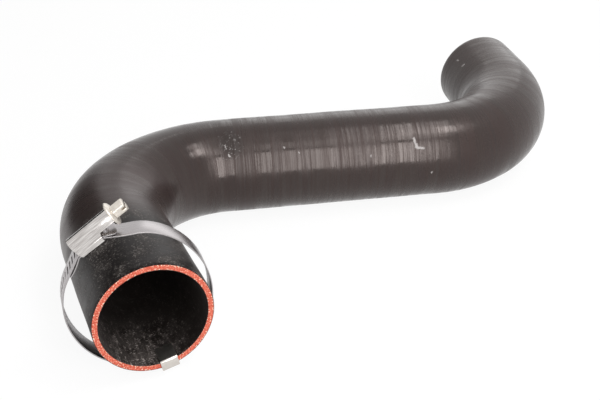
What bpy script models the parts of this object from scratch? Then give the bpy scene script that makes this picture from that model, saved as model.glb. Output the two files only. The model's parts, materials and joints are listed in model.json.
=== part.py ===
"""Charge air hose: a moulded rubber hose with two bends, and the worm-drive clamp that hangs open on it.

Metres, +Z up. The middle run lies along X. The near leg comes towards -Y and carries the clamp.
The object rests on the hose's middle run and on the clip's hook, at z = 0.
"""

import math

import bmesh
import bpy
from mathutils import Matrix, Vector

# Hose
HOSE_BORE = 0.060
HOSE_WALL = 0.004
MIDDLE_RUN = 0.157
NEAR_BEND_RADIUS = 0.0786
NEAR_BEND_ANGLE = 103.6
NEAR_LEG = 0.0885
NEAR_RISE = 1.79
FAR_BEND_RADIUS = 0.0802
FAR_BEND_ANGLE = 93.1
FAR_LEG = 0.0375
FAR_RISE = 4.5
HOSE_SIDES = 40
BEND_STEP = 6.0

# Running clearance between pieces that touch
CLEARANCE = 0.0003

# Clamp band, and how its open loop hangs on the near leg
BAND_WIDTH = 0.012
BAND_THICKNESS = 0.0007
LOOP_SLACK = 0.0077
LOOP_OVAL = 0.0021
LOOP_OVAL_TURN = -13.0
CLAMP_SETBACK = 0.0108
CLAMP_HANG_ANGLE = 143.6
CLAMP_YAW = -4.2
CLAMP_PITCH = -2.8
TONGUE_ANGLE = 305.0
TONGUE_DROOP = 0.0005
TAIL_ANGLE = 351.0
TAIL_LIFT = 0.001
TAIL_CORNER = 0.003
SLOT_PITCH = 0.0032
SLOT_LENGTH = 0.0064
SLOT_WIDTH = 0.0014
SLOT_SLANT = 7.0
SLOT_COUNT = 20

# Screw housing
HOUSING_ANGLE = 331.4
HOUSING_TILT = 6.0
HOUSING_LIFT = 0.0022
HOUSING_SHEET = 0.0009
SADDLE_LENGTH = 0.016
CROWN_LENGTH = 0.0263
SHOULDER_HEIGHT = 0.0005
CROWN_SPRING_ANGLE = 4.0
HOOD_EDGE = 0.0022
HOOD_SLANT = 24.0
SKIRT_CUT = 0.0018
SKIRT_CORNER = 0.0015
FOOT_LENGTH = 0.0033
FOLD_RADIUS = 0.0007
COLLAR_LENGTH = 0.0012

# Clamp screw
WORM_RADIUS = 0.0032
NECK_RADIUS = 0.0022
FLANGE_RADIUS = 0.0068
FLANGE_THICKNESS = 0.0013
FLANGE_DOME = 0.0007
HEX_ACROSS_FLATS = 0.007
HEX_HEIGHT = 0.0068
HEX_CHAMFER = 0.0006
HEAD_SINK = 0.0006
DRIVER_SLOT_WIDTH = 0.0012
DRIVER_SLOT_DEPTH = 0.0025

# Locator clip
CLIP_ANGLE = 169.5
CLIP_WIDTH = 0.010
CLIP_THICKNESS = 0.0007
CLIP_STANDOFF = 0.0009
CLIP_INNER_LEG = 0.012
CLIP_HOOK = 0.008
CLIP_FOLD_RADIUS = 0.0009
CLIP_SIDE_ROOM = 0.001
CLIP_SEARCH_ANGLE = 20

# Fineness of the surfaces
TURNED_SIDES = 24
FOLD_STEPS = 4
CROWN_STEPS = 9
FLANK_ROUNDS = 8
CHAMFER_STEPS = 2
WELD = 0.00001
SHARP_ANGLE = 35.0

HOSE_RADIUS = HOSE_BORE / 2 + HOSE_WALL
LAYER_STEP = BAND_THICKNESS + CLEARANCE
X_AXIS = Vector((1, 0, 0))
UP = Vector((0, 0, 1))


def clear_scene():
    for old in list(bpy.data.objects):
        bpy.data.objects.remove(old, do_unlink=True)


def new_collection(name):
    collection = bpy.data.collections.new(name)
    bpy.context.scene.collection.children.link(collection)
    return collection


def material(name, colour, roughness, metallic):
    made = bpy.data.materials.new(name)
    made.use_nodes = True
    shader = made.node_tree.nodes["Principled BSDF"]
    shader.inputs["Base Color"].default_value = (*colour, 1)
    shader.inputs["Roughness"].default_value = roughness
    shader.inputs["Metallic"].default_value = metallic
    return made


def mesh_object(name, mesh, collection, placement=None, finish=None):
    made = bpy.data.objects.new(name, mesh)
    collection.objects.link(made)
    made.parent = root
    made.matrix_basis = placement or Matrix.Identity(4)
    if finish:
        mesh.materials.append(finish)
    return made


def mesh_from(name, bm):
    mesh = bpy.data.meshes.new(name)
    bm.to_mesh(mesh)
    bm.free()
    return mesh


def baked(thing):
    """The object's evaluated mesh, welded and free of modifiers."""
    graph = bpy.context.evaluated_depsgraph_get()
    mesh = bpy.data.meshes.new_from_object(thing.evaluated_get(graph))
    bm = bmesh.new()
    bm.from_mesh(mesh)
    bmesh.ops.remove_doubles(bm, verts=bm.verts, dist=WELD)
    bm.to_mesh(mesh)
    bm.free()
    return mesh


def smooth(thing):
    thing.data.shade_smooth()
    thing.data.set_sharp_from_angle(angle=math.radians(SHARP_ANGLE))


def frame_matrix(x, y, z, origin):
    turned = Matrix((x, y, z)).transposed().to_4x4()
    turned.translation = origin
    return turned


def as_cutter(thing):
    thing.hide_render = True
    thing.display_type = "WIRE"
    return thing


def boolean(thing, other, operation):
    step = thing.modifiers.new(operation.lower(), "BOOLEAN")
    step.operation = operation
    step.solver = "EXACT"
    step.object = other


def box_cutter(name, low, high, placement):
    bm = bmesh.new()
    bmesh.ops.create_cube(bm, size=1)
    for vert in bm.verts:
        vert.co = Vector((high[i] if vert.co[i] > 0 else low[i] for i in range(3)))
    return as_cutter(mesh_object(name, mesh_from(name, bm), cutters, placement))


def outline_cutter(name, outline, reach, placement):
    """A block with the given outline in the XY plane, which runs the same distance to both sides of it."""
    bm = bmesh.new()
    face = bm.faces.new([bm.verts.new((point[0], point[1], -reach)) for point in outline])
    swept = bmesh.ops.extrude_face_region(bm, geom=[face], use_keep_orig=True)
    moved = [item for item in swept["geom"] if isinstance(item, bmesh.types.BMVert)]
    bmesh.ops.translate(bm, verts=moved, vec=(0, 0, 2 * reach))
    bmesh.ops.recalc_face_normals(bm, faces=bm.faces)
    return as_cutter(mesh_object(name, mesh_from(name, bm), cutters, placement))


def cylinder_cutter(name, radius, start, end, placement):
    """A cylinder along the placement's X axis, from start to end."""
    bm = bmesh.new()
    along = Matrix.Translation(((start + end) / 2, 0, 0)) @ Matrix.Rotation(math.pi / 2, 4, "Y")
    bmesh.ops.create_cone(bm, cap_ends=True, segments=TURNED_SIDES, radius1=radius, radius2=radius,
                          depth=end - start, matrix=along)
    return as_cutter(mesh_object(name, mesh_from(name, bm), cutters, placement))


def rounded(points, radius):
    """The path with each inner corner replaced by an arc of the given radius, as folded sheet has."""
    path = [Vector(points[0])]
    for before, corner, after in zip(points, points[1:], points[2:]):
        corner = Vector(corner)
        back = (Vector(before) - corner).normalized()
        ahead = (Vector(after) - corner).normalized()
        half = back.angle(ahead) / 2
        centre = corner + (back + ahead).normalized() * radius / math.sin(half)
        reach = radius / math.tan(half)
        first = corner + back * reach - centre
        last = corner + ahead * reach - centre
        for i in range(FOLD_STEPS + 1):
            path.append(centre + radius * first.slerp(last, i / FOLD_STEPS).normalized())
    return path + [Vector(points[-1])]


def ribbon(name, path, start, end):
    """An open sheet that follows a path in the YZ plane and runs along X from start to end."""
    bm = bmesh.new()
    verts = [bm.verts.new((start, point[0], point[1])) for point in path]
    edges = [bm.edges.new(pair) for pair in zip(verts, verts[1:])]
    swept = bmesh.ops.extrude_edge_only(bm, edges=edges)
    moved = [item for item in swept["geom"] if isinstance(item, bmesh.types.BMVert)]
    bmesh.ops.translate(bm, verts=moved, vec=(end - start, 0, 0))
    return mesh_from(name, bm)


def solidify(thing, thickness, offset):
    step = thing.modifiers.new("sheet", "SOLIDIFY")
    step.thickness = thickness
    step.offset = offset
    step.use_even_offset = True


def bend_points(start, ahead, aside, radius, angle):
    """Points along an arc that leaves start in the direction ahead and turns towards aside."""
    count = math.ceil(angle / BEND_STEP)
    turns = [math.radians(angle) * i / count for i in range(count + 1)]
    return [start + radius * (math.sin(t) * ahead + (1 - math.cos(t)) * aside) for t in turns]


def bend_heading(ahead, aside, angle):
    turn = math.radians(angle)
    return math.cos(turn) * ahead + math.sin(turn) * aside


near_aside = Vector((0, -math.cos(math.radians(NEAR_RISE)), math.sin(math.radians(NEAR_RISE))))
far_aside = Vector((0, math.cos(math.radians(FAR_RISE)), math.sin(math.radians(FAR_RISE))))
near_arc = bend_points(-MIDDLE_RUN / 2 * X_AXIS, -X_AXIS, near_aside, NEAR_BEND_RADIUS, NEAR_BEND_ANGLE)
far_arc = bend_points(MIDDLE_RUN / 2 * X_AXIS, X_AXIS, far_aside, FAR_BEND_RADIUS, FAR_BEND_ANGLE)
near_heading = bend_heading(-X_AXIS, near_aside, NEAR_BEND_ANGLE)
far_heading = bend_heading(X_AXIS, far_aside, FAR_BEND_ANGLE)
near_mouth = near_arc[-1] + near_heading * NEAR_LEG
far_mouth = far_arc[-1] + far_heading * FAR_LEG

# The near leg's own directions: up across the leg, and side to its right seen from in front
leg_up = (UP - near_heading * UP.dot(near_heading)).normalized()
leg_side = leg_up.cross(near_heading)


def make_hose():
    """One tube along the centreline, with its wall inside the outer skin and its ends cut square."""
    route = [near_mouth, *reversed(near_arc), *far_arc, far_mouth]
    curve = bpy.data.curves.new("hose_route", "CURVE")
    curve.dimensions = "3D"
    curve.bevel_depth = HOSE_RADIUS
    curve.bevel_resolution = (HOSE_SIDES - 4) // 2
    curve.use_fill_caps = False
    spline = curve.splines.new("POLY")
    spline.points.add(len(route) - 1)
    for point, place in zip(spline.points, route):
        point.co = (*place, 1)
    guide = bpy.data.objects.new("hose_route", curve)
    cutters.objects.link(guide)
    bpy.context.view_layer.update()
    mesh = baked(guide)
    bpy.data.objects.remove(guide, do_unlink=True)
    mesh.materials.clear()
    hose = mesh_object("hose", mesh, parts, finish=material("epdm_rubber", (0.035, 0.032, 0.032), 0.55, 0))
    solidify(hose, HOSE_WALL, -1)
    smooth(hose)


def loop_radius(angle):
    """Inner surface of the open loop, slightly oval, as seen from its own centre."""
    turn = math.radians(2 * (angle - LOOP_OVAL_TURN))
    return HOSE_RADIUS + LOOP_SLACK + LOOP_OVAL * math.cos(turn)


def ease(value):
    value = min(max(value, 0), 1)
    return value * value * (3 - 2 * value)


FLAT_HALF_ANGLE = math.degrees(math.atan(SADDLE_LENGTH / 2 / loop_radius(HOUSING_ANGLE)))
# The straight stretch springs out of the loop where the housing starts, and rises towards the screw's head
FLAT_START_RADIUS = loop_radius(HOUSING_ANGLE - FLAT_HALF_ANGLE) + HOUSING_LIFT
FLAT_RADIUS = FLAT_START_RADIUS * math.cos(math.radians(HOUSING_TILT - FLAT_HALF_ANGLE))
ENTRY_ANGLE = HOUSING_ANGLE - FLAT_HALF_ANGLE
OUTLET_ANGLE = HOUSING_ANGLE + FLAT_HALF_ANGLE


def flank(end):
    """Where the straight flank from one end of the housing touches the loop: its radius and its distance."""
    corner = FLAT_RADIUS / math.cos(math.radians(end + HOUSING_TILT))
    landing = loop_radius(HOUSING_ANGLE + end)
    turn = math.degrees(math.acos(landing / corner))
    for _ in range(FLANK_ROUNDS):
        landing = loop_radius(HOUSING_ANGLE + end + math.copysign(turn, end))
        turn = math.degrees(math.acos(landing / corner))
    return landing, turn


def flattened(angle):
    """The loop with a straight stretch under the housing and a straight flank on each side of it."""
    away = (angle - HOUSING_ANGLE + 180) % 360 - 180
    if abs(away) <= FLAT_HALF_ANGLE:
        return FLAT_RADIUS / math.cos(math.radians(away + HOUSING_TILT))
    landing, turn = flank(math.copysign(FLAT_HALF_ANGLE, away))
    past = abs(away) - FLAT_HALF_ANGLE
    if past < turn:
        return landing / math.cos(math.radians(turn - past))
    return loop_radius(angle)


def strip_point(angle):
    """The strip's inner surface: the tongue and first layer run one step below the slotted layer."""
    under = 1 - ease((angle - TAIL_ANGLE) / (2 * FLAT_HALF_ANGLE))
    along_tongue = max(ENTRY_ANGLE - angle, 0) / (ENTRY_ANGLE - TONGUE_ANGLE)
    droop = TONGUE_DROOP * 4 * along_tongue * (1 - along_tongue)
    lift = TAIL_LIFT * max(angle - 360 - OUTLET_ANGLE, 0) / (TAIL_ANGLE - OUTLET_ANGLE)
    radius = flattened(angle) - LAYER_STEP * under - droop + lift
    turn = math.radians(angle)
    return Vector((radius * math.sin(turn), radius * math.cos(turn)))


def strip_stations():
    """The places along the strip where it is bent, with one at each end of the housing in both layers."""
    knots = [TONGUE_ANGLE, ENTRY_ANGLE, OUTLET_ANGLE, ENTRY_ANGLE + 360, OUTLET_ANGLE + 360, TAIL_ANGLE + 360]
    cell = math.degrees(SLOT_PITCH / (HOSE_RADIUS + LOOP_SLACK))
    places = [strip_point(TONGUE_ANGLE)]
    for low, high in zip(knots, knots[1:]):
        cells = max(round((high - low) / cell), 1)
        places += [strip_point(low + (high - low) * (i + 1) / cells) for i in range(cells)]
    return places


def mitred_normals(places):
    """Outward directions at the stations, lengthened at each bend so that the strip keeps its thickness."""
    sides = []
    for here, there in zip(places, places[1:]):
        along = (there - here).normalized()
        sides.append(Vector((-along.y, along.x)))
    normals = []
    for before, after in zip([sides[0], *sides], [*sides, sides[-1]]):
        middle = (before + after).normalized()
        normals.append(middle / middle.dot(after))
    return normals


def wrap(mesh, lengths, places):
    """Bends the flat strip round the loop: X runs along the route, Z is the thickness."""
    normals = mitred_normals(places)
    for vert in mesh.vertices:
        i = 0
        while i < len(lengths) - 2 and lengths[i + 1] < vert.co.x:
            i += 1
        part = (vert.co.x - lengths[i]) / (lengths[i + 1] - lengths[i])
        place = places[i].lerp(places[i + 1], part) + normals[i].lerp(normals[i + 1], part) * vert.co.z
        vert.co = (place.x, place.y, -BAND_WIDTH - vert.co.y)


def punched_strip(lengths):
    """The flat strip before it is bent: a row of cells, some with a slanted slot, and a rounded tail."""
    rows = len(lengths) - 1
    bm = bmesh.new()
    bmesh.ops.create_grid(bm, x_segments=rows, y_segments=1, size=0.5)
    for vert in bm.verts:
        vert.co = (lengths[round((vert.co.x + 0.5) * rows)], (vert.co.y - 0.5) * BAND_WIDTH, 0)
    first = lengths[rows - 1 - SLOT_COUNT]
    slotted = [face for face in bm.faces if first < face.calc_center_median().x < lengths[rows - 1]]
    slope = math.tan(math.radians(SLOT_SLANT))
    bmesh.ops.inset_individual(bm, faces=slotted, thickness=SLOT_WIDTH / 4)
    for face in slotted:
        middle = face.calc_center_median().copy()
        for vert in face.verts:
            across = math.copysign(SLOT_LENGTH / 2, vert.co.y - middle.y)
            along = math.copysign(SLOT_WIDTH / 2, vert.co.x - middle.x)
            vert.co = (middle.x + along + across * slope, middle.y + across, 0)
    bmesh.ops.delete(bm, geom=slotted, context="FACES")
    corners = [vert for vert in bm.verts if vert.co.x > (lengths[-1] + lengths[-2]) / 2]
    bmesh.ops.bevel(bm, geom=corners, offset=TAIL_CORNER, segments=FOLD_STEPS, profile=0.5, affect="VERTICES")
    bmesh.ops.recalc_face_normals(bm, faces=bm.faces)
    if bm.faces[0].normal.z < 0:
        bmesh.ops.reverse_faces(bm, faces=bm.faces)
    raised = bmesh.ops.extrude_face_region(bm, geom=list(bm.faces), use_keep_orig=True)
    lifted = [item for item in raised["geom"] if isinstance(item, bmesh.types.BMVert)]
    bmesh.ops.translate(bm, verts=lifted, vec=(0, 0, BAND_THICKNESS))
    bmesh.ops.recalc_face_normals(bm, faces=bm.faces)
    return mesh_from("clamp_band", bm)


def clamp_frame():
    """The loop's own frame at its front edge: X to the side, Y up and Z out of the mouth."""
    yaw = math.tan(math.radians(CLAMP_YAW))
    pitch = math.tan(math.radians(CLAMP_PITCH))
    facing = (near_heading + yaw * leg_side + pitch * leg_up).normalized()
    up = (leg_up - facing * leg_up.dot(facing)).normalized()
    hang = math.radians(CLAMP_HANG_ANGLE)
    seat = HOSE_RADIUS + CLIP_STANDOFF + CLIP_THICKNESS
    lowering = loop_radius(CLAMP_HANG_ANGLE) - seat
    towards = math.cos(hang) * leg_up + math.sin(hang) * leg_side
    centre = near_mouth - near_heading * CLAMP_SETBACK - towards * lowering
    return frame_matrix(up.cross(facing), up, facing, centre)


def housing_frame(clamp):
    """X along the screw towards its head, Y away from the hose, from the middle of the band's outer face."""
    turn = math.radians(HOUSING_ANGLE - HOUSING_TILT)
    outward = Vector((math.sin(turn), math.cos(turn), 0))
    along = Vector((math.cos(turn), -math.sin(turn), 0))
    middle = FLAT_RADIUS * math.tan(math.radians(HOUSING_TILT))
    origin = outward * (FLAT_RADIUS + BAND_THICKNESS) + along * middle - UP * BAND_WIDTH / 2
    return clamp @ frame_matrix(along, outward, UP, origin)


def make_band(clamp):
    places = strip_stations()
    lengths = [0.0]
    for here, there in zip(places, places[1:]):
        lengths.append(lengths[-1] + (there - here).length)
    mesh = punched_strip(lengths)
    wrap(mesh, lengths, places)
    finish = material("stainless_band", (0.62, 0.61, 0.6), 0.32, 1)
    band = mesh_object("clamp_band", mesh, parts, clamp, finish)
    smooth(band)


SCREW_HEIGHT = WORM_RADIUS + CLEARANCE
CROWN_RADIUS = WORM_RADIUS + CLEARANCE + HOUSING_SHEET / 2
SADDLE_START = -SADDLE_LENGTH / 2
CROWN_END = SADDLE_START + CROWN_LENGTH
SOLE = -BAND_THICKNESS - LAYER_STEP - CLEARANCE


def housing_path():
    """Half of the folded section, along the middle of the sheet, from the foot to the top of the crown."""
    half = HOUSING_SHEET / 2
    wall = BAND_WIDTH / 2 + CLEARANCE + half
    sole = SOLE - half
    spring = math.radians(CROWN_SPRING_ANGLE)
    rise = SCREW_HEIGHT - CROWN_RADIUS * math.sin(spring)
    folds = [(sole, wall - FOOT_LENGTH), (sole, wall), (SHOULDER_HEIGHT, wall),
             (rise, CROWN_RADIUS * math.cos(spring))]
    path = rounded(folds, FOLD_RADIUS)
    for i in range(1, CROWN_STEPS + 1):
        turn = -spring + (math.pi / 2 + spring) * i / CROWN_STEPS
        path.append(Vector((SCREW_HEIGHT + CROWN_RADIUS * math.sin(turn), CROWN_RADIUS * math.cos(turn))))
    return path


def make_housing(place):
    """Folded sheet: feet under the band, walls beside it and a crown over the worm, open at the tail."""
    mesh = ribbon("clamp_housing", housing_path(), SADDLE_START, CROWN_END)
    finish = material("zinc_plated_steel", (0.7, 0.69, 0.66), 0.3, 1)
    housing = mesh_object("clamp_housing", mesh, parts, place, finish)
    mirror = housing.modifiers.new("mirror", "MIRROR")
    mirror.use_axis = (False, False, True)
    mirror.merge_threshold = 0.0001
    solidify(housing, HOUSING_SHEET, 0)
    axis = place @ Matrix.Translation((0, SCREW_HEIGHT, 0))
    collar = cylinder_cutter("collar", CROWN_RADIUS, CROWN_END - COLLAR_LENGTH, CROWN_END, axis)
    boolean(housing, collar, "UNION")
    neck = cylinder_cutter("neck_hole", NECK_RADIUS + CLEARANCE, CROWN_END - 2 * COLLAR_LENGTH,
                           CROWN_END + COLLAR_LENGTH, axis)
    boolean(housing, neck, "DIFFERENCE")
    saddle_end = SADDLE_START + SADDLE_LENGTH
    hood_start = saddle_end + HOOD_EDGE * math.tan(math.radians(HOOD_SLANT))
    under_hood = [(saddle_end, -BAND_WIDTH), (CROWN_END + BAND_WIDTH, -BAND_WIDTH),
                  (CROWN_END + BAND_WIDTH, HOOD_EDGE), (hood_start, HOOD_EDGE), (saddle_end, 0)]
    boolean(housing, outline_cutter("hood_cut", under_hood, BAND_WIDTH, place), "DIFFERENCE")
    bottom = SOLE - HOUSING_SHEET
    skirt_end = SADDLE_START + SKIRT_CUT
    outside = SADDLE_START - SKIRT_CORNER
    below = bottom - SKIRT_CORNER
    skirt = [(SADDLE_START, SCREW_HEIGHT), (skirt_end, bottom + SKIRT_CORNER),
             (skirt_end + SKIRT_CORNER, bottom), (skirt_end + 2 * SKIRT_CORNER, below),
             (outside, below), (outside, SCREW_HEIGHT)]
    boolean(housing, outline_cutter("skirt_cut", skirt, BAND_WIDTH, place), "DIFFERENCE")
    smooth(housing)


def turned(name, profile, placement, finish):
    """A solid of revolution about the placement's Z axis. The profile runs from its top to its bottom."""
    bm = bmesh.new()
    verts = [bm.verts.new((radius, 0, height)) for radius, height in profile]
    for pair in zip(verts, verts[1:]):
        bm.edges.new(pair)
    made = mesh_object(name, mesh_from(name, bm), parts, placement, finish)
    screw = made.modifiers.new("turn", "SCREW")
    screw.steps = TURNED_SIDES
    screw.render_steps = TURNED_SIDES
    screw.use_merge_vertices = True
    screw.merge_threshold = WELD
    return made


def make_screw(place):
    """Worm, neck, flange and slotted hex head in one piece, turned about the screw's own axis."""
    axis = place @ Matrix.Translation((0, SCREW_HEIGHT, 0)) @ Matrix.Rotation(math.pi / 2, 4, "Y")
    tip = SADDLE_START + HOUSING_SHEET
    worm_end = CROWN_END - COLLAR_LENGTH - CLEARANCE
    flange_start = CROWN_END + CLEARANCE
    flange_end = flange_start + FLANGE_THICKNESS + FLANGE_DOME
    head_end = flange_end + HEX_HEIGHT
    edge = FLANGE_THICKNESS / 2
    rim = flange_end - FLANGE_DOME
    profile = [(0, flange_end), (HEX_ACROSS_FLATS / 2, flange_end), (FLANGE_RADIUS - edge, rim),
               (FLANGE_RADIUS, rim - edge), (FLANGE_RADIUS, flange_start), (NECK_RADIUS, flange_start),
               (NECK_RADIUS, worm_end), (WORM_RADIUS, worm_end), (WORM_RADIUS, tip + edge),
               (WORM_RADIUS - edge, tip), (0, tip)]
    screw = turned("clamp_screw", profile, axis, material("zinc_plated_screw", (0.75, 0.7, 0.6), 0.35, 1))
    bm = bmesh.new()
    corner = HEX_ACROSS_FLATS / 2 / math.cos(math.pi / 6)
    middle = Matrix.Translation((0, 0, (flange_end - HEAD_SINK + head_end) / 2))
    bmesh.ops.create_cone(bm, cap_ends=True, segments=6, radius1=corner, radius2=corner,
                          depth=HEX_HEIGHT + HEAD_SINK, matrix=middle)
    top_edges = [side for side in bm.edges if min(vert.co.z for vert in side.verts) > flange_end]
    bmesh.ops.bevel(bm, geom=top_edges, offset=HEX_CHAMFER, segments=CHAMFER_STEPS, profile=0.5,
                    affect="EDGES")
    head = as_cutter(mesh_object("hex_head", mesh_from("hex_head", bm), cutters, axis))
    boolean(screw, head, "UNION")
    slot = box_cutter("driver_slot", (-corner, -DRIVER_SLOT_WIDTH / 2, head_end - DRIVER_SLOT_DEPTH),
                      (corner, DRIVER_SLOT_WIDTH / 2, head_end + DRIVER_SLOT_DEPTH), axis)
    boolean(screw, slot, "DIFFERENCE")
    smooth(screw)


def band_at_clip(clamp):
    """How far behind the mouth the band's back edge lies at the clip, and how far from the hose's axis."""
    turn = math.radians(CLIP_ANGLE)
    outward = math.cos(turn) * leg_up + math.sin(turn) * leg_side
    backs = []
    reaches = []
    for step in range(-CLIP_SEARCH_ANGLE, CLIP_SEARCH_ANGLE + 1):
        angle = CLIP_ANGLE + step
        radius = loop_radius(angle) + BAND_THICKNESS
        flat = Vector((radius * math.sin(math.radians(angle)), radius * math.cos(math.radians(angle)), 0))
        for depth in (0, -BAND_WIDTH):
            spot = clamp @ (flat + depth * UP) - near_mouth
            across = spot - near_heading * spot.dot(near_heading)
            reach = across.dot(outward)
            if (across - outward * reach).length < CLIP_WIDTH / 2 + CLIP_SIDE_ROOM:
                backs.append(-spot.dot(near_heading))
                reaches.append(reach)
    return max(backs), max(reaches)


def make_clip(clamp):
    """A sprung strip folded over the rim, with one leg in the bore and one hooked round the band."""
    turn = math.radians(CLIP_ANGLE)
    outward = math.cos(turn) * leg_up + math.sin(turn) * leg_side
    inward = -near_heading
    place = frame_matrix(outward.cross(inward), outward, inward, near_mouth)
    half = CLIP_THICKNESS / 2
    flat_bore = HOSE_BORE / 2 * math.cos(math.pi / HOSE_SIDES)
    inner = math.sqrt(flat_bore ** 2 - (CLIP_WIDTH / 2) ** 2) - CLEARANCE - half
    outer = HOSE_RADIUS + CLIP_STANDOFF + half
    back_edge, band_reach = band_at_clip(clamp)
    front = -CLEARANCE - half
    behind = back_edge + CLEARANCE + half + CLIP_FOLD_RADIUS
    over = band_reach + CLEARANCE + half
    folds = [(inner, CLIP_INNER_LEG), (inner, front), (outer, front), (outer, behind), (over, behind),
             (over, behind - CLIP_HOOK)]
    path = rounded(folds, CLIP_FOLD_RADIUS)
    clip = mesh_object("locator_clip", ribbon("locator_clip", path, -CLIP_WIDTH / 2, CLIP_WIDTH / 2), parts,
                       place, material("spring_steel", (0.72, 0.7, 0.66), 0.35, 1))
    solidify(clip, CLIP_THICKNESS, 0)
    smooth(clip)


def stand_on_floor():
    """Moves everything so that the box round the parts has its bottom centre at the origin."""
    bpy.context.view_layer.update()
    graph = bpy.context.evaluated_depsgraph_get()
    corners = []
    for part in parts.objects:
        seen = part.evaluated_get(graph)
        corners += [seen.matrix_world @ vert.co for vert in seen.data.vertices]
    low = [min(corner[i] for corner in corners) for i in range(3)]
    high = [max(corner[i] for corner in corners) for i in range(3)]
    root.location = (-(low[0] + high[0]) / 2, -(low[1] + high[1]) / 2, -low[2])
    bpy.context.view_layer.update()


clear_scene()
parts = new_collection("charge_air_hose")
cutters = new_collection("cutters")
root = bpy.data.objects.new("resting_frame", None)
bpy.context.scene.collection.objects.link(root)

make_hose()
clamp = clamp_frame()
make_band(clamp)
housing_place = housing_frame(clamp)
make_housing(housing_place)
make_screw(housing_place)
make_clip(clamp)
stand_on_floor()
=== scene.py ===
import json
import math

import bpy
from mathutils import Matrix, Vector, noise


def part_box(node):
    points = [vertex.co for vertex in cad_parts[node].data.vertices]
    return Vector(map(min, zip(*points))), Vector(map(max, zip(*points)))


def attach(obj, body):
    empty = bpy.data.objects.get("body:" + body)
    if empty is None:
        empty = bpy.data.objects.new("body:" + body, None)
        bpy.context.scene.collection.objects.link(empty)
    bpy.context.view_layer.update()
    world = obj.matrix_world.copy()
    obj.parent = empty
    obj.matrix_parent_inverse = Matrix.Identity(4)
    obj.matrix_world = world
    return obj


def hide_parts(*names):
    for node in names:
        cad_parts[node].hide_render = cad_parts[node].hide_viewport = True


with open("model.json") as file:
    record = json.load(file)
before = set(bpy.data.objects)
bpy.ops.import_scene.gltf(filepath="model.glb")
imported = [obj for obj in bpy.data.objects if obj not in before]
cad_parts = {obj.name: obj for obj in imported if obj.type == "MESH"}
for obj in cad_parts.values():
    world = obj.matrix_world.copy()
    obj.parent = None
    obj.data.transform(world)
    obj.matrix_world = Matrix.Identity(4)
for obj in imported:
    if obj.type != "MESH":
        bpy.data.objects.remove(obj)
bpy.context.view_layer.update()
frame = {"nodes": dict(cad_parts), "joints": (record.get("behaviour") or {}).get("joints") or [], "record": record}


# The hose. Plies of fabric and rubber are wrapped round a bent mandrel, bound with tape and cured, and then
# the ends are cut square. The tape leaves fine rings all the way along the skin, and the cut shows the red
# wall between the black skin and the black liner.
HOSE_RADIUS = 0.034
HOSE_WALL = 0.004
MIDDLE_RUN = 0.157
NEAR_BEND_RADIUS = 0.0786
NEAR_BEND_ANGLE = math.radians(103.6)
NEAR_LEG = 0.0885
NEAR_RISE = math.radians(1.79)
FAR_BEND_RADIUS = 0.0802
FAR_BEND_ANGLE = math.radians(93.1)
FAR_LEG = 0.0375
FAR_RISE = math.radians(4.5)
NEAR_BEND_LENGTH = NEAR_BEND_RADIUS * NEAR_BEND_ANGLE
FAR_BEND_LENGTH = FAR_BEND_RADIUS * FAR_BEND_ANGLE
HOSE_LENGTH = NEAR_LEG + NEAR_BEND_LENGTH + MIDDLE_RUN + FAR_BEND_LENGTH + FAR_LEG
HOSE_SIDES = 144
HOSE_RINGS = 190
RIM_BREAK = 0.0004
RIM_ANGLE = math.radians(60)
SMOOTH_ANGLE = math.radians(40)
CUT_FACE_CUTS = 2
LEVEL_ENOUGH = 0.99
# How far the skin, the liner and the cut face depart from true, and over what distance
SKIN_UNEVEN = 0.00022
SKIN_UNEVEN_SIZE = 0.030
CUT_UNEVEN = 0.00012
CUT_UNEVEN_SIZE = 0.0012

near_ahead = Vector((-1, 0, 0))
near_aside = Vector((0, -math.cos(NEAR_RISE), math.sin(NEAR_RISE)))
far_ahead = Vector((1, 0, 0))
far_aside = Vector((0, math.cos(FAR_RISE), math.sin(FAR_RISE)))


def bend_frame(start, ahead, aside, radius, turn):
    """A point on a bend's centreline, the way it runs there and the way out of the bend."""
    outward = math.sin(turn) * ahead - math.cos(turn) * aside
    return start + radius * (aside + outward), math.cos(turn) * ahead + math.sin(turn) * aside, outward


near_start = Vector((-MIDDLE_RUN / 2, 0, 0))
far_start = Vector((MIDDLE_RUN / 2, 0, 0))
near_bend = (near_start, near_ahead, near_aside, NEAR_BEND_RADIUS)
far_bend = (far_start, far_ahead, far_aside, FAR_BEND_RADIUS)
near_end, near_heading, near_outward = bend_frame(*near_bend, NEAR_BEND_ANGLE)
far_end, far_heading, far_outward = bend_frame(*far_bend, FAR_BEND_ANGLE)
near_mouth = near_end + near_heading * NEAR_LEG
leg_up = (Vector((0, 0, 1)) - near_heading * near_heading.z).normalized()
leg_side = leg_up.cross(near_heading)


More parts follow.
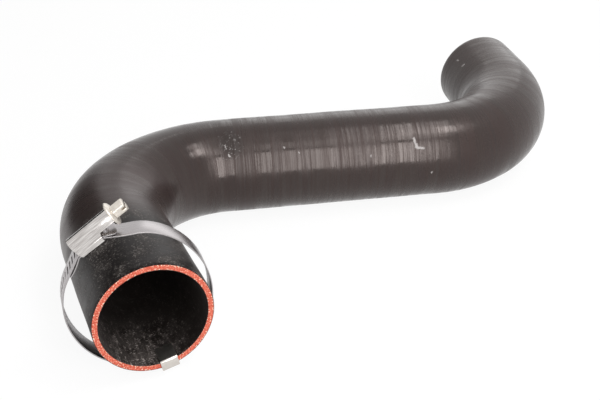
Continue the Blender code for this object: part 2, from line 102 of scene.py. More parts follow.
def laid(spot):
    """Where a point of the straight hose lies on the bent one. Its Z is the distance from the near mouth."""
    along = spot.z
    upward = near_ahead.cross(near_aside)
    if along < NEAR_LEG:
        centre, outward = near_mouth - near_heading * along, near_outward
    elif along < NEAR_LEG + NEAR_BEND_LENGTH:
        turn = NEAR_BEND_ANGLE - (along - NEAR_LEG) / NEAR_BEND_RADIUS
        centre, _, outward = bend_frame(*near_bend, turn)
    elif along < NEAR_LEG + NEAR_BEND_LENGTH + MIDDLE_RUN:
        past = along - NEAR_LEG - NEAR_BEND_LENGTH
        twist = -NEAR_RISE + (NEAR_RISE + FAR_RISE) * past / MIDDLE_RUN
        centre = near_start + far_ahead * past
        outward = Vector((0, math.cos(twist), math.sin(twist)))
        upward = Vector((0, -math.sin(twist), math.cos(twist)))
    else:
        upward = far_ahead.cross(far_aside)
        past = along - NEAR_LEG - NEAR_BEND_LENGTH - MIDDLE_RUN
        if past < FAR_BEND_LENGTH:
            turn = past / FAR_BEND_RADIUS
            centre, _, inward = bend_frame(*far_bend, turn)
        else:
            centre, inward = far_end + far_heading * (past - FAR_BEND_LENGTH), far_outward
        outward = -inward
    return centre + outward * spot.x + upward * spot.y


# The middle of the near mouth's wall, at its top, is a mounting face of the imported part
mouth_face = next(mount for mount in frame["record"]["mounts"] if mount["name"] == "near_mouth_face")
resting = Vector(mouth_face["pos_m"]) - near_mouth - leg_up * (HOSE_RADIUS - HOSE_WALL / 2)


def finished(piece, body, node):
    """Hands a finished piece over: it rides on its body and stands for its solid."""
    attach(piece, body)
    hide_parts(node)


bpy.ops.object.select_all(action="DESELECT")
bpy.ops.mesh.primitive_circle_add(vertices=HOSE_SIDES, radius=HOSE_RADIUS - SKIN_UNEVEN, fill_type="NOTHING")
hose = bpy.context.object
hose.name = "moulded_hose"
bpy.ops.object.mode_set(mode="EDIT")
bpy.ops.mesh.select_all(action="SELECT")
for _ in range(HOSE_RINGS):
    bpy.ops.mesh.extrude_region_move(TRANSFORM_OT_translate={"value": (0, 0, HOSE_LENGTH / HOSE_RINGS)})
bpy.ops.mesh.select_all(action="SELECT")
bpy.ops.mesh.normals_make_consistent(inside=False)
bpy.ops.object.mode_set(mode="OBJECT")
# An open tube has no inside of its own, so its faces may all have been turned inwards
if hose.data.polygons[0].normal.dot(hose.data.polygons[0].center) < 0:
    bpy.ops.object.mode_set(mode="EDIT")
    bpy.ops.mesh.flip_normals()
    bpy.ops.object.mode_set(mode="OBJECT")
wall = hose.modifiers.new("wall", "SOLIDIFY")
wall.thickness = HOSE_WALL - SKIN_UNEVEN
wall.offset = -1
bpy.ops.object.modifier_apply(modifier="wall")
rim = hose.modifiers.new("rim", "BEVEL")
rim.width = RIM_BREAK
rim.segments = 2
rim.limit_method = "ANGLE"
rim.angle_limit = RIM_ANGLE
bpy.ops.object.modifier_apply(modifier="rim")
bpy.ops.object.mode_set(mode="EDIT")
bpy.ops.mesh.select_all(action="DESELECT")
bpy.ops.object.mode_set(mode="OBJECT")
for face in hose.data.polygons:
    face.select = abs(face.normal.z) > LEVEL_ENOUGH
bpy.ops.object.mode_set(mode="EDIT")
bpy.ops.mesh.subdivide(number_cuts=CUT_FACE_CUTS)
bpy.ops.object.mode_set(mode="OBJECT")
for vert in hose.data.vertices:
    radius = math.hypot(vert.co.x, vert.co.y)
    if 0 < vert.co.z < HOSE_LENGTH:
        push = noise.noise(vert.co / SKIN_UNEVEN_SIZE) * SKIN_UNEVEN / radius
        vert.co.x += vert.co.x * push
        vert.co.y += vert.co.y * push
    else:
        inward = 1 if vert.co.z == 0 else -1
        vert.co.z += inward * CUT_UNEVEN * (0.5 + 0.5 * noise.noise(vert.co / CUT_UNEVEN_SIZE))
unbent = hose.data.attributes.new("unbent", "FLOAT_VECTOR", "POINT")
unbent.data.foreach_set("vector", [value for vert in hose.data.vertices for value in vert.co])
for vert in hose.data.vertices:
    vert.co = laid(vert.co) + resting
bpy.ops.object.shade_smooth_by_angle(angle=SMOOTH_ANGLE)


def colour(code):
    """A linear colour from an sRGB hex value."""
    parts = [int(code[i:i + 2], 16) / 255 for i in (1, 3, 5)]
    return (*[part / 12.92 if part <= 0.04045 else ((part + 0.055) / 1.055) ** 2.4 for part in parts], 1)


def add(tree, kind, links, out=0, **settings):
    """Adds a shader node and returns one of its outputs. Each input gets a value or another node's output.

    By number, a MapRange has its value, the two levels that it runs from and the two that it runs to, which
    are nought and one if they aren't given. A Mix has its share and then two of a kind: numbers, 2 and 3,
    vectors, 4 and 5, or colours, 6 and 7.
    """
    made = tree.nodes.new("ShaderNode" + kind)
    for name, value in settings.items():
        setattr(made, name, value)
    for name, value in links.items():
        if isinstance(value, bpy.types.NodeSocket):
            tree.links.new(value, made.inputs[name])
        else:
            made.inputs[name].default_value = value
    return made.outputs[out]


def new_finish(name, **values):
    """A material whose principled shader has the given values."""
    made = bpy.data.materials.new(name)
    made.use_nodes = True
    shader = made.node_tree.nodes["Principled BSDF"]
    for socket, value in values.items():
        shader.inputs[socket.replace("_", " ")].default_value = value
    return made, made.node_tree, shader


# Rubber cured under tape: a satin skin that breaks a highlight into fine rings, glossier under some turns of
# the tape than under others, with a bloom that greys it where it turns away. The rings are drawn a little
# coarser than the tape's weave, which is too fine to show.
TAPE_RING = 0.0009
TAPE_BAND = 0.007
RING_RUN = 0.05
# Turns of the tape that left the skin plainly glossier or duller: their start, their end and the change
TAPE_TURNS = ((0.1660, 0.2030, 0.45), (0.2200, 0.2350, 0.55), (0.2360, 0.2415, -0.7),
              (0.2415, 0.2490, -0.35), (0.2690, 0.2790, 0.3))
TURN_EDGE = 0.0012
# Along the near bend the rings are faint: how much of their change is lost there, and the level it settles at
CALM_START = 0.158
CALM_END = 0.128
CALM_SHARE = 0.6
CALM_LEVEL = 0.25
DUST_GRAIN = 0.0011
GRAIN_SHARE = 0.6

rubber, tree, shader = new_finish("wrapped_epdm_rubber", IOR=1.5, Sheen_Weight=0.07, Sheen_Roughness=0.35,
                                  Sheen_Tint=colour("#E6DAD7"))
place = add(tree, "Attribute", {}, "Vector", attribute_name="unbent")
from_mouth = add(tree, "SeparateXYZ", {0: place}, "Z")
# A noise runs from about 0.3 to 0.7, and the levels that it is cut at below lie between
ring_stretch = (1 / RING_RUN, 1 / RING_RUN, 1 / TAPE_RING)
ring_place = add(tree, "VectorMath", {0: place, 1: ring_stretch}, operation="MULTIPLY")
rings = add(tree, "TexNoise", {"Vector": ring_place, "Scale": 1, "Detail": 4, "Roughness": 0.6})
band_stretch = (1 / RING_RUN, 1 / RING_RUN, 1 / TAPE_BAND)
band_place = add(tree, "VectorMath", {0: place, 1: band_stretch}, operation="MULTIPLY")
bands = add(tree, "TexNoise", {"Vector": band_place, "Scale": 1, "Detail": 2})
grains = add(tree, "TexNoise", {"Vector": place, "Scale": 1 / DUST_GRAIN, "Detail": 3, "Roughness": 0.7})
gloss = add(tree, "Math", {0: rings, 1: bands})
gloss = add(tree, "Math", {0: grains, 1: GRAIN_SHARE, 2: gloss}, operation="MULTIPLY_ADD")
gloss = add(tree, "MapRange", {0: gloss, 1: 1.10, 2: 1.56})
for start, end, change in TAPE_TURNS:
    begun = add(tree, "MapRange", {0: from_mouth, 1: start, 2: start + TURN_EDGE})
    inside = add(tree, "MapRange", {0: from_mouth, 1: end - TURN_EDGE, 2: end, 3: begun, 4: 0})
    gloss = add(tree, "Math", {0: inside, 1: change, 2: gloss}, operation="MULTIPLY_ADD", use_clamp=True)
calm = add(tree, "MapRange", {0: from_mouth, 1: CALM_START, 2: CALM_END, 4: CALM_SHARE})
gloss = add(tree, "Mix", {0: calm, 2: gloss, 3: CALM_LEVEL})
# The tape's ridges are smooth and mirror strongly; their colour has painted shade, darker than the grooves'
ridges = add(tree, "MapRange", {0: rings, 1: 0.36, 2: 0.60})
ridges = add(tree, "Mix", {0: calm, 2: ridges, 3: CALM_LEVEL})
# Painted shade: the ridges' colour is darker, standing in for how glossy ridges look away from the highlights
skin = add(tree, "Mix", {0: ridges, 6: colour("#372D2B"), 7: colour("#28201F")}, 2, data_type="RGBA")
band_tone = add(tree, "MapRange", {0: bands, 1: 0.4, 2: 0.7, 4: 0.35})
skin = add(tree, "Mix", {0: band_tone, 6: skin, 7: colour("#3B3633")}, 2, data_type="RGBA")
shine = add(tree, "Mix", {0: gloss, 2: 0.38, 3: 0.12})
gleam = add(tree, "Mix", {0: ridges, 6: colour("#B8AAA6"), 7: colour("#FFF1EC")}, 2, data_type="RGBA")
gleam = add(tree, "Mix", {0: calm, 6: gleam, 7: colour("#B8928C")}, 2, data_type="RGBA")

# Towards the near mouth, where hands and the clamp have been, the skin is dull, blotched dark and pale, and
# has a fine dust in the pale blotches
DULL_START = 0.084
DULL_END = 0.058
SMUDGE = 0.011

smudges = add(tree, "TexNoise", {"Vector": place, "Scale": 1 / SMUDGE, "Detail": 4, "Roughness": 0.6})
dull = add(tree, "MapRange", {0: from_mouth, 1: DULL_END, 2: DULL_START, 3: 1, 4: 0})
blotch = add(tree, "MapRange", {0: smudges, 1: 0.38, 2: 0.62})
leg = add(tree, "Mix", {0: blotch, 6: colour("#080606"), 7: colour("#1F1B1A")}, 2, data_type="RGBA")
pale_blotch = add(tree, "MapRange", {0: smudges, 1: 0.55, 2: 0.70, 4: 0.4})
leg = add(tree, "Mix", {0: pale_blotch, 6: leg, 7: colour("#67625E")}, 2, data_type="RGBA")
dust = add(tree, "MapRange", {0: grains, 1: 0.54, 2: 0.66, 4: blotch})
leg = add(tree, "Mix", {0: dust, 6: leg, 7: colour("#928D89")}, 2, data_type="RGBA")
skin = add(tree, "Mix", {0: dull, 6: skin, 7: leg}, 2, data_type="RGBA")
leg_shine = add(tree, "MapRange", {0: smudges, 1: 0.3, 2: 0.7, 3: 0.38, 4: 0.56})
leg_shine = add(tree, "Mix", {0: dust, 2: leg_shine, 3: 0.8})
shine = add(tree, "Mix", {0: dull, 2: shine, 3: leg_shine})
gleam = add(tree, "Mix", {0: dull, 6: gleam, 7: colour("#827672")}, 2, data_type="RGBA")
tree.links.new(gleam, shader.inputs["Specular Tint"])

# What handling has left on the skin: a dull patch with pale specks and a smear, and a few pale scuffs. Each
# scuff is a line between two places of the straight hose, with its half width.
DULL_PATCH = (-0.0213, 0.0265, 0.2320)
DULL_PATCH_RADIUS = 0.012
SPECK_SIZE = 0.0011
SCUFFS = (((-0.0236, 0.0242, 0.3644), (-0.0279, 0.0191, 0.3652), 0.0012),
          ((-0.0267, 0.0208, 0.3655), (-0.0281, 0.0189, 0.3664), 0.0013),
          ((-0.0279, 0.0191, 0.3651), (-0.0284, 0.0184, 0.3706), 0.0011),
          ((-0.0339, 0.0006, 0.3767), (-0.0339, 0.0016, 0.3771), 0.0006),
          ((-0.0298, 0.0160, 0.3318), (-0.0304, 0.0148, 0.3317), 0.0006),
          ((-0.0246, 0.0231, 0.2699), (-0.0248, 0.0229, 0.2703), 0.0007),
          ((-0.0273, 0.0199, 0.2801), (-0.0275, 0.0197, 0.2805), 0.0007),
          ((-0.0222, 0.0256, 0.2285), (-0.0240, 0.0238, 0.2292), 0.0007),
          ((-0.0266, 0.0208, 0.2308), (-0.0274, 0.0198, 0.2316), 0.0008),
          ((0.0265, 0.0208, 0.5417), (0.0262, 0.0212, 0.5395), 0.0008),
          ((0.0266, 0.0207, 0.5299), (0.0250, 0.0226, 0.5290), 0.0009))
SCUFF_RAGGED = 0.0008
SCUFF_WANDER = 0.0024
SCUFF_CORE = 0.3
PATCH_FADE = 1.5
# How much of the skin's own tone the marks cover
SCUFF_COVER = 0.8
SPECK_COVER = 0.6
PATCH_COVER = 0.6

wander = add(tree, "TexNoise", {"Vector": place, "Scale": 1 / SCUFF_RAGGED, "Detail": 2}, "Color")
ragged = add(tree, "VectorMath", {0: wander, 1: (0.5, 0.5, 0.5)}, operation="SUBTRACT")
ragged = add(tree, "VectorMath", {0: ragged, 1: (SCUFF_WANDER,) * 3, 2: place}, operation="MULTIPLY_ADD")
scuffed = add(tree, "Value", {})
for start, end, half_width in SCUFFS:
    whole = Vector(end) - Vector(start)
    reach = add(tree, "VectorMath", {0: ragged, 1: start}, operation="SUBTRACT")
    per_length = whole / whole.length_squared
    share = add(tree, "VectorMath", {0: reach, 1: per_length}, "Value", operation="DOT_PRODUCT")
    share = add(tree, "Clamp", {0: share})
    nearest = add(tree, "VectorMath", {0: tuple(whole), "Scale": share}, operation="SCALE")
    from_line = add(tree, "VectorMath", {0: reach, 1: nearest}, "Value", operation="DISTANCE")
    mark = add(tree, "MapRange", {0: from_line, 1: half_width, 2: half_width * SCUFF_CORE})
    scuffed = add(tree, "Math", {0: scuffed, 1: mark}, operation="MAXIMUM")
from_patch = add(tree, "VectorMath", {0: place, 1: DULL_PATCH}, "Value", operation="DISTANCE")
from_patch = add(tree, "Math", {0: smudges, 1: DULL_PATCH_RADIUS, 2: from_patch}, operation="MULTIPLY_ADD")
patch = add(tree, "MapRange", {0: from_patch, 1: DULL_PATCH_RADIUS * PATCH_FADE, 2: DULL_PATCH_RADIUS})
speckle = add(tree, "TexNoise", {"Vector": place, "Scale": 1 / SPECK_SIZE, "Detail": 1})
specks = add(tree, "MapRange", {0: speckle, 1: 0.62, 2: 0.72, 4: patch})
specks = add(tree, "Math", {0: specks, 1: SPECK_COVER}, operation="MULTIPLY")
scuffed = add(tree, "Math", {0: scuffed, 1: specks}, operation="MAXIMUM")
patch_tone = add(tree, "Math", {0: patch, 1: PATCH_COVER}, operation="MULTIPLY")
skin = add(tree, "Mix", {0: patch_tone, 6: skin, 7: colour("#191716")}, 2, data_type="RGBA")
scuff_tone = add(tree, "Math", {0: scuffed, 1: SCUFF_COVER}, operation="MULTIPLY")
skin = add(tree, "Mix", {0: scuff_tone, 6: skin, 7: colour("#C9C4C2")}, 2, data_type="RGBA")
shine = add(tree, "Mix", {0: patch, 2: shine, 3: 0.5})
shine = add(tree, "Mix", {0: scuffed, 2: shine, 3: 0.8})

# The liner: smooth black rubber, with dust that lies on its floor just inside the mouth. It ends at a radius
# that is clear of how uneven its surface is.
LINER_EDGE = 0.0304
EDGE_SOFTNESS = 0.00012
DUSTY_FLOOR = (0.009, -0.028, 0.014)
DUSTY_REACH = 0.034
DUSTY_CORE = 0.3
STREAK = (1 / 0.0022, 1 / 0.0022, 1 / 0.006)
BORE_SPECK = 0.0011

across = add(tree, "VectorMath", {0: place, 1: (1, 1, 0)}, operation="MULTIPLY")
from_axis = add(tree, "VectorMath", {0: across}, "Value", operation="LENGTH")
from_dusty = add(tree, "VectorMath", {0: place, 1: DUSTY_FLOOR}, "Value", operation="DISTANCE")
dusty = add(tree, "MapRange", {0: from_dusty, 1: DUSTY_REACH, 2: DUSTY_REACH * DUSTY_CORE, 3: 0.1, 4: 1})
streak_place = add(tree, "VectorMath", {0: place, 1: STREAK}, operation="MULTIPLY")
streaks = add(tree, "TexNoise", {"Vector": streak_place, "Scale": 1, "Detail": 3})
film = add(tree, "MapRange", {0: smudges, 1: 0.42, 2: 0.62, 4: 0.12})
streaked = add(tree, "MapRange", {0: streaks, 1: 0.50, 2: 0.62, 3: film, 4: 0.2})
bore_grain = add(tree, "TexNoise", {"Vector": place, "Scale": 1 / BORE_SPECK, "Detail": 2, "Roughness": 0.6})
speck_share = add(tree, "MapRange", {0: streaks, 1: 0.44, 2: 0.60, 3: 0.25, 4: 1})
bore_dust = add(tree, "MapRange", {0: bore_grain, 1: 0.57, 2: 0.63, 3: streaked, 4: speck_share})
bore_dust = add(tree, "Math", {0: bore_dust, 1: dusty}, operation="MULTIPLY")
liner = add(tree, "Mix", {0: bore_dust, 6: colour("#1B1715"), 7: colour("#A99F9A")}, 2, data_type="RGBA")
in_bore = add(tree, "MapRange", {0: from_axis, 1: LINER_EDGE, 2: LINER_EDGE + EDGE_SOFTNESS, 3: 1, 4: 0})
black = add(tree, "Mix", {0: in_bore, 6: skin, 7: liner}, 2, data_type="RGBA")
shine = add(tree, "Mix", {0: in_bore, 2: shine, 3: 0.62})

# The cut wall: red silicone rubber, flecked with the pale ends of the fabric's threads, most of them along
# the innermost and the outermost ply. The red ends below the lowest places of the uneven skin.
RED_EDGE = 0.0333
INNER_PLY = 0.0307
OUTER_PLY = 0.0330
THREAD_END = 0.0009

threads = add(tree, "TexNoise", {"Vector": place, "Scale": 1 / THREAD_END, "Detail": 2, "Roughness": 0.6})
middle_ply = (INNER_PLY + OUTER_PLY) / 2
from_middle = add(tree, "Math", {0: from_axis, 1: middle_ply}, operation="SUBTRACT")
from_middle = add(tree, "Math", {0: from_middle}, operation="ABSOLUTE")
at_ply = add(tree, "MapRange", {0: from_middle, 2: OUTER_PLY - middle_ply, 3: -0.05, 4: 0.05})
thread_ends = add(tree, "Math", {0: threads, 1: at_ply})
thread_ends = add(tree, "MapRange", {0: thread_ends, 1: 0.60, 2: 0.68})
red_tone = add(tree, "MapRange", {0: threads, 1: 0.3, 2: 0.6})
red = add(tree, "Mix", {0: red_tone, 6: colour("#B34735"), 7: colour("#E07660")}, 2, data_type="RGBA")
red = add(tree, "Mix", {0: thread_ends, 6: red, 7: colour("#F0E0C8")}, 2, data_type="RGBA")
above_liner = add(tree, "MapRange", {0: from_axis, 1: LINER_EDGE, 2: LINER_EDGE + EDGE_SOFTNESS})
cut = add(tree, "MapRange", {0: from_axis, 1: RED_EDGE, 2: RED_EDGE + EDGE_SOFTNESS, 3: above_liner, 4: 0})
look = add(tree, "Mix", {0: cut, 6: black, 7: red}, 2, data_type="RGBA")
tree.links.new(look, shader.inputs["Base Color"])
tree.links.new(add(tree, "Mix", {0: cut, 2: shine, 3: 0.75}), shader.inputs["Roughness"])
ring_bump = add(tree, "Bump", {"Strength": 0.22, "Distance": 0.00008, "Height": rings})
band_bump = add(tree, "Bump", {"Strength": 0.4, "Distance": 0.0004, "Height": bands, "Normal": ring_bump})
grain_bump = add(tree, "Bump", {"Strength": 0.6, "Distance": 0.0002, "Height": threads})
relief = add(tree, "Mix", {0: cut, 4: band_bump, 5: grain_bump}, 1, data_type="VECTOR")
tree.links.new(relief, shader.inputs["Normal"])
hose.data.materials.append(rubber)
finished(hose, "hose_and_clamp", "hose")


# The clamp's band: one stainless strip, slotted along half its length and bent into the open loop. It hangs
# from the clip, so it stands off the hose on the left. The mill's rolling runs along the strip.
EDGE_BREAK = 0.00012
EDGE_ANGLE = math.radians(35)
WELD = 0.00001
FLAT = math.radians(1)
CLAMP_YAW = math.radians(-4.2)
CLAMP_PITCH = math.radians(-2.8)
LOOP_RADIUS = 0.0417
ROLLING_LINE = 0.00035
ROLLING_RUN = 0.020


def bench_copy(node, name, edge_break):
    """A copy of a solid with its triangles merged into whole faces and its sharp edges broken."""
    piece = bpy.data.objects.new(name, frame["nodes"][node].data.copy())
    bpy.context.scene.collection.objects.link(piece)
    bpy.ops.object.select_all(action="DESELECT")
    piece.select_set(True)
    bpy.context.view_layer.objects.active = piece
    piece.data.materials.clear()
    bpy.ops.object.mode_set(mode="EDIT")
    bpy.ops.mesh.select_all(action="SELECT")
    bpy.ops.mesh.customdata_custom_splitnormals_clear()
    bpy.ops.mesh.remove_doubles(threshold=WELD)
    bpy.ops.mesh.tris_convert_to_quads(face_threshold=FLAT, shape_threshold=math.radians(90))
    bpy.ops.object.mode_set(mode="OBJECT")
    edges = piece.modifiers.new("edges", "BEVEL")
    edges.width = edge_break
    edges.segments = 2
    edges.limit_method = "ANGLE"
    edges.angle_limit = EDGE_ANGLE
    bpy.ops.object.modifier_apply(modifier="edges")
    bpy.ops.object.shade_smooth_by_angle(angle=EDGE_ANGLE)
    return piece


band = bench_copy("clamp_band", "slotted_band", EDGE_BREAK)
facing = (near_heading + math.tan(CLAMP_YAW) * leg_side + math.tan(CLAMP_PITCH) * leg_up).normalized()
loop_up = (leg_up - facing * leg_up.dot(facing)).normalized()
loop_side = loop_up.cross(facing)
loop_centre = sum(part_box("clamp_band"), Vector()) / 2
rolled = band.data.attributes.new("rolled", "FLOAT_VECTOR", "POINT")
for vert in band.data.vertices:
    reach = vert.co - loop_centre
    turn = math.atan2(reach.dot(loop_side), reach.dot(loop_up))
    rolled.data[vert.index].vector = (turn * LOOP_RADIUS, reach.dot(facing), 0)

# Cold-rolled stainless steel strip: an even satin with faint lines along its length
strip_steel, tree, shader = new_finish("cold_rolled_stainless_steel", Metallic=1.0, Roughness=0.3)
strip_place = add(tree, "Attribute", {}, "Vector", attribute_name="rolled")
stretch = (1 / ROLLING_RUN, 1 / ROLLING_LINE, 1)
lines_place = add(tree, "VectorMath", {0: strip_place, 1: stretch}, operation="MULTIPLY")
lines = add(tree, "TexNoise", {"Vector": lines_place, "Scale": 1, "Detail": 2})
tone = add(tree, "Mix", {0: lines, 6: colour("#9D9899"), 7: colour("#BAB6B6")}, 2, data_type="RGBA")
tree.links.new(tone, shader.inputs["Base Color"])
satin = add(tree, "MapRange", {0: lines, 1: 0.3, 2: 0.7, 3: 0.24, 4: 0.36})
tree.links.new(satin, shader.inputs["Roughness"])
line_bump = add(tree, "Bump", {"Strength": 0.25, "Distance": 0.00003, "Height": lines})
tree.links.new(line_bump, shader.inputs["Normal"])
band.data.materials.append(strip_steel)
finished(band, "hose_and_clamp", "clamp_band")


# The screw's housing: sheet folded up round the band and rolled over the worm, open at its tail. Its crown is
# bright from the rolls, which leave faint lines along it and soft waves across it.
SHEET_WAVE = 0.0045
ROLL_LINE = 0.0007
ROLL_RUN = 0.009

joint = next(joint for joint in frame["joints"] if joint["name"] == "screw_turn")
screw_place = Vector(joint["pos_m"])
screw_axis = Vector(joint["axis"]).normalized()
across_screw = screw_axis.cross(facing).normalized()
screw_frame = Matrix((across_screw, screw_axis.cross(across_screw), screw_axis)).transposed().to_4x4()
screw_frame.translation = screw_place

housing = bench_copy("clamp_housing", "rolled_housing", EDGE_BREAK)
# Bright zinc plate on rolled sheet: sharp reflections, which the lines of the rolls draw out along the crown
sheet_steel, tree, shader = new_finish("bright_zinc_plated_steel", Metallic=1.0, Roughness=0.2)
solid_place = add(tree, "TexCoord", {}, "Object")
waves = add(tree, "TexNoise", {"Vector": solid_place, "Scale": 1 / SHEET_WAVE, "Detail": 1})
roll_place = add(tree, "Mapping", {"Vector": solid_place, "Rotation": screw_frame.to_euler(),
                                   "Scale": (ROLL_LINE, ROLL_LINE, ROLL_RUN)}, vector_type="TEXTURE")
roll_lines = add(tree, "TexNoise", {"Vector": roll_place, "Scale": 1, "Detail": 2})
line_tone = add(tree, "MapRange", {0: roll_lines, 1: 0.35, 2: 0.7})
tone = add(tree, "Mix", {0: line_tone, 6: colour("#B5B0AD"), 7: colour("#DEDAD7")}, 2, data_type="RGBA")
tree.links.new(tone, shader.inputs["Base Color"])
satin = add(tree, "MapRange", {0: roll_lines, 1: 0.3, 2: 0.7, 3: 0.14, 4: 0.30})
tree.links.new(satin, shader.inputs["Roughness"])
wave_bump = add(tree, "Bump", {"Strength": 0.35, "Distance": 0.0006, "Height": waves})
line_bump = add(tree, "Bump", {"Strength": 0.2, "Distance": 0.00006, "Height": roll_lines,
                               "Normal": wave_bump})
tree.links.new(line_bump, shader.inputs["Normal"])
housing.data.materials.append(sheet_steel)
finished(housing, "hose_and_clamp", "clamp_housing")


# The screw: worm, neck, flange and slotted hexagon head, cold-headed in one from wire, its thread rolled on
# and the whole of it zinc plated. The thread has the pitch of the band's slots.
WORM_RADIUS = 0.0032
WORM_CORE = 0.0024
# The thread's foot lies inside the core, so that no gap shows between them
THREAD_FOOT = 0.9 * WORM_CORE
THREAD_PITCH = 0.0032
THREAD_ROOT = 0.0020
THREAD_CREST = 0.0008
THREAD_STEPS = 32
NECK_REACH = 0.0023
FLANGE_REACH = 0.006
PLATE_MARK = 0.0012

screw = bench_copy("clamp_screw", "worm_screw", EDGE_BREAK)
to_screw = screw_frame.inverted()
turned = [to_screw @ vert.co for vert in screw.data.vertices]
flange_start = min(spot.z for spot in turned if math.hypot(spot.x, spot.y) > FLANGE_REACH)
worm_spots = [spot for spot in turned if spot.z < flange_start and math.hypot(spot.x, spot.y) > NECK_REACH]
worm_start = min(spot.z for spot in worm_spots)
worm_end = max(spot.z for spot in worm_spots)
for vert, spot in zip(screw.data.vertices, turned):
    reach = math.hypot(spot.x, spot.y)
    if spot.z < flange_start and reach > NECK_REACH:
        vert.co = screw_frame @ Vector((spot.x * WORM_CORE / reach, spot.y * WORM_CORE / reach, spot.z))
bpy.ops.object.select_all(action="DESELECT")
bpy.ops.mesh.primitive_circle_add(vertices=4, radius=THREAD_ROOT / 2, fill_type="NOTHING")
thread = bpy.context.object
section = [(THREAD_FOOT, -THREAD_ROOT / 2), (WORM_RADIUS, -THREAD_CREST / 2),
           (WORM_RADIUS, THREAD_CREST / 2), (THREAD_FOOT, THREAD_ROOT / 2)]
for vert, (out, up) in zip(thread.data.vertices, section):
    vert.co = (out, 0, worm_start + THREAD_ROOT / 2 + up)
helix = thread.modifiers.new("helix", "SCREW")
helix.screw_offset = THREAD_PITCH
helix.iterations = int((worm_end - worm_start - THREAD_ROOT) / THREAD_PITCH)
helix.steps = THREAD_STEPS
helix.render_steps = THREAD_STEPS
bpy.ops.object.modifier_apply(modifier="helix")
bpy.ops.object.mode_set(mode="EDIT")
bpy.ops.mesh.select_all(action="SELECT")
bpy.ops.mesh.remove_doubles(threshold=WELD)
bpy.ops.mesh.fill_holes(sides=4)
bpy.ops.mesh.select_all(action="SELECT")
bpy.ops.mesh.normals_make_consistent(inside=False)
bpy.ops.object.mode_set(mode="OBJECT")
bpy.ops.object.shade_smooth_by_angle(angle=EDGE_ANGLE)
thread.data.transform(screw_frame)
screw.select_set(True)
bpy.context.view_layer.objects.active = screw
bpy.ops.object.join()

# Zinc plate passivated to a warm tone, duller than the sheet
plate, tree, shader = new_finish("warm_zinc_plate", Metallic=1.0, Roughness=0.38)
solid_place = add(tree, "TexCoord", {}, "Object")
marks = add(tree, "TexNoise", {"Vector": solid_place, "Scale": 1 / PLATE_MARK, "Detail": 2})
tone = add(tree, "Mix", {0: marks, 6: colour("#C2BAB1"), 7: colour("#DFD9D0")}, 2, data_type="RGBA")
tree.links.new(tone, shader.inputs["Base Color"])
satin = add(tree, "MapRange", {0: marks, 1: 0.35, 2: 0.7, 3: 0.34, 4: 0.46})
tree.links.new(satin, shader.inputs["Roughness"])
screw.data.materials.append(plate)
finished(screw, "screw", "clamp_screw")


# The locator clip: a strip of spring steel folded over the rim at the bottom of the mouth and hooked round
# the band, so that the clamp stays on the hose until it is fitted.
CLIP_MARK = 0.0016

clip = bench_copy("locator_clip", "locator_spring", EDGE_BREAK)
# Plated spring steel: paler and more even than the band, with a soft gloss and faint marks of the press
spring_steel, tree, shader = new_finish("plated_spring_steel", Metallic=1.0, Roughness=0.3)
solid_place = add(tree, "TexCoord", {}, "Object")
marks = add(tree, "TexNoise", {"Vector": solid_place, "Scale": 1 / CLIP_MARK, "Detail": 2})
tone = add(tree, "Mix", {0: marks, 6: colour("#C9C3BC"), 7: colour("#DAD5CF")}, 2, data_type="RGBA")
tree.links.new(tone, shader.inputs["Base Color"])
satin = add(tree, "MapRange", {0: marks, 1: 0.35, 2: 0.7, 3: 0.33, 4: 0.38})
tree.links.new(satin, shader.inputs["Roughness"])
clip.data.materials.append(spring_steel)
finished(clip, "hose_and_clamp", "locator_clip")


# The studio: a pale table without an edge, white all round, tall softboxes with a gap between them, which is
# the dark line along the middle run's highlight, and a black card behind the near bend, which keeps that
# side of the hose and of the clamp dark.
TABLE_SIZE = 6.0
SOFTBOX_DISTANCE = 1.3
ROOM_LIGHT = 0.3
TABLE_GLOW = 0.86
GLOW_STRENGTH = 1.06
# Each softbox: its rise above the table, its middle along X, its width, its height and its radiance
SOFTBOXES = {"front_softbox": (26.5, 0.11, 0.32, 1.15, 4.6),
             "front_right_softbox": (24.5, 0.39, 0.24, 1.22, 7.2),
             "top_softbox": (80.0, 0.19, 0.46, 1.10, 0.4),
             "top_front_softbox": (63.5, 0.15, 0.40, 0.34, 1.6),
             "top_right_softbox": (78.0, 0.44, 0.24, 1.02, 4.4),
             "side_softbox": (76.0, 0.62, 0.36, 0.36, 6.5),
             "back_softbox": (155.0, 0.55, 1.10, 0.70, 0.8)}
CARD_PLACE = (-0.43, 0.27, 0.21)
CARD_TURN = 41.0
CARD_WIDTH = 0.50
CARD_HEIGHT = 0.58
# The card fades from its core out to its edge, in shares of its size, so its reflection has no outline
CARD_CORE = 0.27
CARD_EDGE = 0.5


def seen_or_mirrored(tree):
    """One for rays from the camera, off a gloss or through glass, and nought for those that light things."""
    path = add(tree, "LightPath", {}).node.outputs
    seen = add(tree, "Math", {0: path["Is Camera Ray"], 1: path["Is Glossy Ray"]}, operation="MAXIMUM")
    return add(tree, "Math", {0: seen, 1: path["Is Transmission Ray"]}, operation="MAXIMUM")


bpy.ops.object.select_all(action="DESELECT")
bpy.ops.mesh.primitive_plane_add(size=TABLE_SIZE)
table = bpy.context.object
table.name = "table"
pale, tree, shader = new_finish("pale_table", Base_Color=colour("#EDEDED"), Roughness=0.9)
glow = add(tree, "Emission", {"Color": (1, 1, 1, 1), "Strength": GLOW_STRENGTH})
glow_share = add(tree, "Math", {0: seen_or_mirrored(tree), 1: TABLE_GLOW}, operation="MULTIPLY")
table_look = add(tree, "MixShader", {0: glow_share, 1: shader.outputs[0], 2: glow})
tree.links.new(table_look, tree.nodes["Material Output"].inputs["Surface"])
table.data.materials.append(pale)

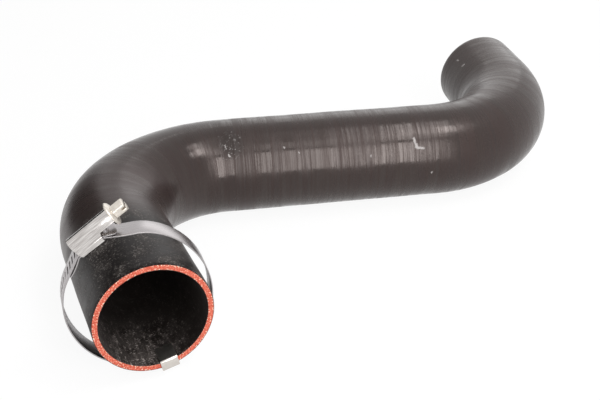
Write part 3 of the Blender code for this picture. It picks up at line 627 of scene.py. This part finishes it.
world = bpy.data.worlds.new("studio")
bpy.context.scene.world = world
world.use_nodes = True
tree = world.node_tree
white = add(tree, "MapRange", {0: seen_or_mirrored(tree), 3: ROOM_LIGHT})
tree.links.new(white, tree.nodes["Background"].inputs["Strength"])
tree.nodes["Background"].inputs["Color"].default_value = (1, 1, 1, 1)

for name, (rise, middle, width, height, radiance) in SOFTBOXES.items():
    slope = math.radians(rise)
    towards = Vector((0, -math.cos(slope), math.sin(slope)))
    spot = resting + towards * SOFTBOX_DISTANCE + Vector((middle, 0, 0))
    bpy.ops.object.light_add(type="AREA", location=spot, rotation=(math.pi / 2 - slope, 0, 0))
    box = bpy.context.object
    box.name = name
    box.data.shape = "RECTANGLE"
    box.data.size = width
    box.data.size_y = height
    box.data.energy = radiance * math.pi * width * height
    box.visible_camera = False

bpy.ops.object.select_all(action="DESELECT")
card_rotation = (math.pi / 2, 0, math.radians(CARD_TURN))
bpy.ops.mesh.primitive_plane_add(size=1, location=CARD_PLACE, rotation=card_rotation)
card = bpy.context.object
card.name = "black_card"
card.scale = (CARD_WIDTH, CARD_HEIGHT, 1)
bpy.ops.object.transform_apply()
card_black, tree, shader = new_finish("black_card", Base_Color=colour("#0C0B0B"), Roughness=1.0)
card_spot = add(tree, "TexCoord", {}, "UV")
from_centre = add(tree, "VectorMath", {0: card_spot, 1: (0.5, 0.5, 0)}, "Value", operation="DISTANCE")
blackness = add(tree, "MapRange", {0: from_centre, 1: CARD_EDGE, 2: CARD_CORE},
                interpolation_type="SMOOTHSTEP")
clear = add(tree, "BsdfTransparent", {})
card_look = add(tree, "MixShader", {0: blackness, 1: clear, 2: shader.outputs[0]})
tree.links.new(card_look, tree.nodes["Material Output"].inputs["Surface"])
card.data.materials.append(card_black)
card.visible_camera = False
card.visible_diffuse = False
card.visible_transmission = False
card.visible_shadow = False

# The photograph's camera: a normal lens, near the part and above it
CAMERA_PLACE = (-0.1190, -0.5247, 0.3237)
CAMERA_TURN = (60.17, 0.087, -9.684)
LENS_MM = 51.32
SENSOR_MM = 36
bpy.ops.object.camera_add(location=CAMERA_PLACE, rotation=[math.radians(angle) for angle in CAMERA_TURN])
camera = bpy.context.object
camera.data.lens = LENS_MM
camera.data.sensor_width = SENSOR_MM
bpy.context.scene.camera = camera
bpy.context.scene.view_settings.view_transform = "Standard"
